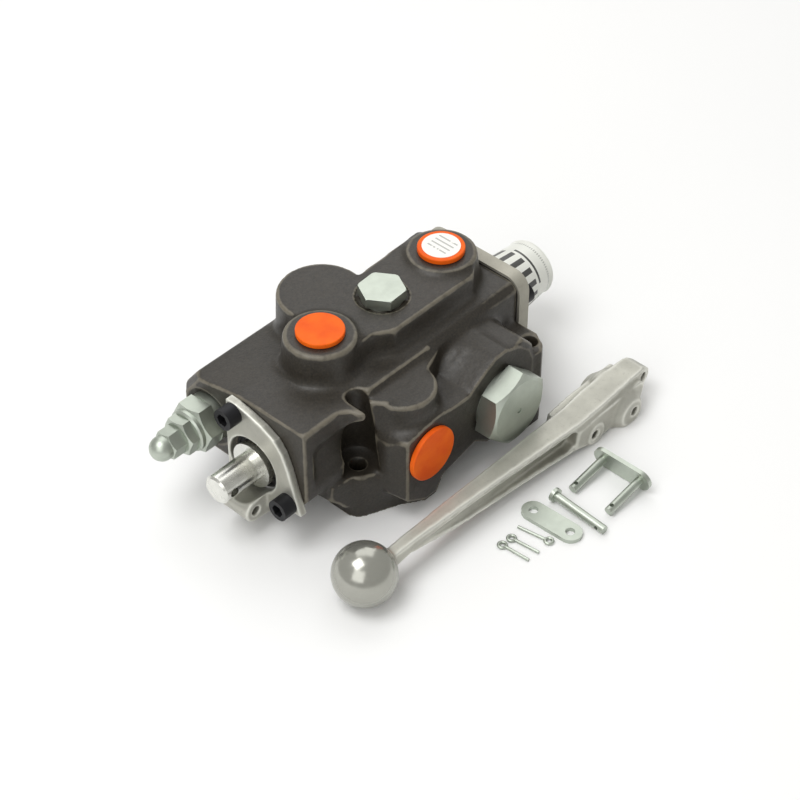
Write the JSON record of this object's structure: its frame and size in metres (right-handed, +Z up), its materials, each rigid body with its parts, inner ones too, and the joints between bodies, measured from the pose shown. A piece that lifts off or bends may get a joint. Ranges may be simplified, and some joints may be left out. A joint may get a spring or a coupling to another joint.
{
  "type": "hydraulic monoblock valve",
  "caption": "Cast single-spool directional control valve with capped ports, an adjustable relief cartridge, a spring-centred spool and its loose hand-lever linkage kit laid beside it.",
  "frame": {"origin": "on the flat mounting plane, below the spool axis, midway between the two work ports", "axes": "+X along the spool from the lever end to the spring cap, +Y toward the relief-valve side, +Z up out of the work ports"},
  "size_m": [0.251, 0.1986, 0.0967],
  "materials": {
    "cast_body": "satin painted sand casting",
    "cast_aluminium": "as-cast, lightly tumbled",
    "cast_plate": "machined casting",
    "zinc_plate": "bright zinc plate",
    "machined_steel": "turned",
    "polished_steel": "ground and polished",
    "spring_steel": "drawn wire",
    "black_oxide": "black oxide",
    "rubber": "moulded",
    "gasket": "pressed fibre",
    "orange_plastic": "moulded polyethylene",
    "white_plastic": "moulded",
    "paper_label": "printed paper"
  },
  "bodies": {
    "valve": {"valve_body": "cast_body", "end_bracket": "cast_aluminium", "bracket_screws": "black_oxide", "spool_wiper": "rubber", "spool_seal": "rubber", "spool_gland": "machined_steel", "gland_seal": "rubber", "inner_centring_spring": "spring_steel", "outer_centring_spring": "spring_steel", "plate_gasket": "gasket", "end_plate": "cast_plate", "plate_screws": "black_oxide", "spring_cap": "white_plastic", "outlet_plug": "zinc_plate", "load_check_plug": "zinc_plate", "load_check_seal": "rubber", "load_check_spring": "spring_steel", "relief_body": "zinc_plate", "relief_seal": "rubber", "relief_seat_ring": "machined_steel", "relief_spring": "spring_steel", "relief_adjuster": "machined_steel", "relief_jam_nut": "zinc_plate"},
    "spool": {"spool": "polished_steel", "spring_collar": "machined_steel", "collar_screw": "machined_steel"},
    "check_poppet": {"load_check_poppet": "machined_steel"},
    "relief_poppet": {"relief_poppet": "machined_steel"},
    "relief_cap": {"relief_cap_nut": "zinc_plate"},
    "port_a_plug": {"work_port_a_plug": "orange_plastic"},
    "port_b_plug": {"work_port_b_plug": "orange_plastic", "port_b_label": "paper_label"},
    "inlet_plug": {"inlet_port_plug": "orange_plastic"},
    "lever": {"hand_lever": "cast_aluminium"},
    "plate_link": {"link_plate": "zinc_plate"},
    "pin_link": {"connecting_link": "zinc_plate"},
    "pin": {"clevis_pin": "zinc_plate"},
    "cotter_1": {"cotter_pin_1": "zinc_plate"},
    "cotter_2": {"cotter_pin_2": "zinc_plate"},
    "cotter_3": {"cotter_pin_3": "zinc_plate"}
  },
  "joints": [
    {"name": "spool_slide", "type": "slide", "parent": "valve", "child": "spool", "axis": [1, 0, 0], "range_m": [-0.008, 0.008], "stiffness_N_per_m": 9000, "deforming": ["inner_centring_spring", "outer_centring_spring"]},
    {"name": "check_lift", "type": "slide", "parent": "valve", "child": "check_poppet", "axis": [0, 0, 1], "range_m": [0, 0.006], "stiffness_N_per_m": 300, "springref_m": -0.005, "deforming": ["load_check_spring"]},
    {"name": "relief_lift", "type": "slide", "parent": "valve", "child": "relief_poppet", "axis": [-1, 0, 0], "range_m": [0, 0.0025], "stiffness_N_per_m": 4000, "springref_m": -0.004, "deforming": ["relief_spring"]},
    {"name": "relief_cap_off", "type": "slide", "parent": "valve", "child": "relief_cap", "axis": [-1, 0, 0], "range_m": [0, 0.03]},
    {"name": "port_a_plug_off", "type": "slide", "parent": "valve", "child": "port_a_plug", "axis": [0, 0, 1], "range_m": [0, 0.03]},
    {"name": "port_b_plug_off", "type": "slide", "parent": "valve", "child": "port_b_plug", "axis": [0, 0, 1], "range_m": [0, 0.03]},
    {"name": "inlet_plug_off", "type": "slide", "parent": "valve", "child": "inlet_plug", "axis": [0, -1, 0], "range_m": [0, 0.012]},
    {"name": "lever_lift", "type": "slide", "parent": "valve", "child": "lever", "axis": [0, 0, 1], "range_m": [0, 0.08]},
    {"name": "link_plate_lift", "type": "slide", "parent": "valve", "child": "plate_link", "axis": [0, 0, 1], "range_m": [0, 0.05]},
    {"name": "connecting_link_lift", "type": "slide", "parent": "valve", "child": "pin_link", "axis": [0, 0, 1], "range_m": [0, 0.05]},
    {"name": "clevis_pin_lift", "type": "slide", "parent": "valve", "child": "pin", "axis": [0, 0, 1], "range_m": [0, 0.05]},
    {"name": "cotter_1_lift", "type": "slide", "parent": "valve", "child": "cotter_1", "axis": [0, 0, 1], "range_m": [0, 0.05]},
    {"name": "cotter_2_lift", "type": "slide", "parent": "valve", "child": "cotter_2", "axis": [0, 0, 1], "range_m": [0, 0.05]},
    {"name": "cotter_3_lift", "type": "slide", "parent": "valve", "child": "cotter_3", "axis": [0, 0, 1], "range_m": [0, 0.05]}
  ]
}
